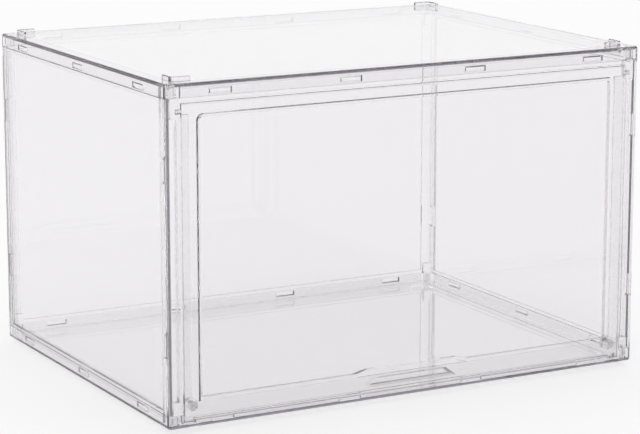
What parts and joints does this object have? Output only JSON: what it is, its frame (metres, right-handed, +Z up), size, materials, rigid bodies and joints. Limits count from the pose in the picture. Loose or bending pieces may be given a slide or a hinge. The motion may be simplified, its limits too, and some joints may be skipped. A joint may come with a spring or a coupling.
{
  "type": "shoe box",
  "caption": "Clear stackable shoe box: snap-together case with rails, posts and stacking lugs, and a flip-up front door held shut by magnets.",
  "frame": {"origin": "on the surface the box stands on, at the middle of its footprint", "axes": "+Z up, +X to the right of someone facing the door, the door at -Y"},
  "size_m": [0.355, 0.2716, 0.2268],
  "materials": {
    "clear_plastic": "water-clear moulded plastic, polished, with faintly grey edges",
    "magnet": "bright nickel plating"
  },
  "bodies": {
    "case": {"base_tray": "clear_plastic", "top_cover": "clear_plastic", "left_panel": "clear_plastic", "right_panel": "clear_plastic", "back_panel": "clear_plastic", "front_frame": "clear_plastic", "frame_magnet_left": "magnet", "frame_magnet_right": "magnet"},
    "door": {"door": "clear_plastic", "door_magnet_left": "magnet", "door_magnet_right": "magnet"}
  },
  "joints": [
    {"name": "door_hinge", "type": "hinge", "parent": "case", "child": "door", "pos_m": [0, -0.1326, 0.206], "axis": [-1, 0, 0], "range_deg": [0, 95]}
  ]
}
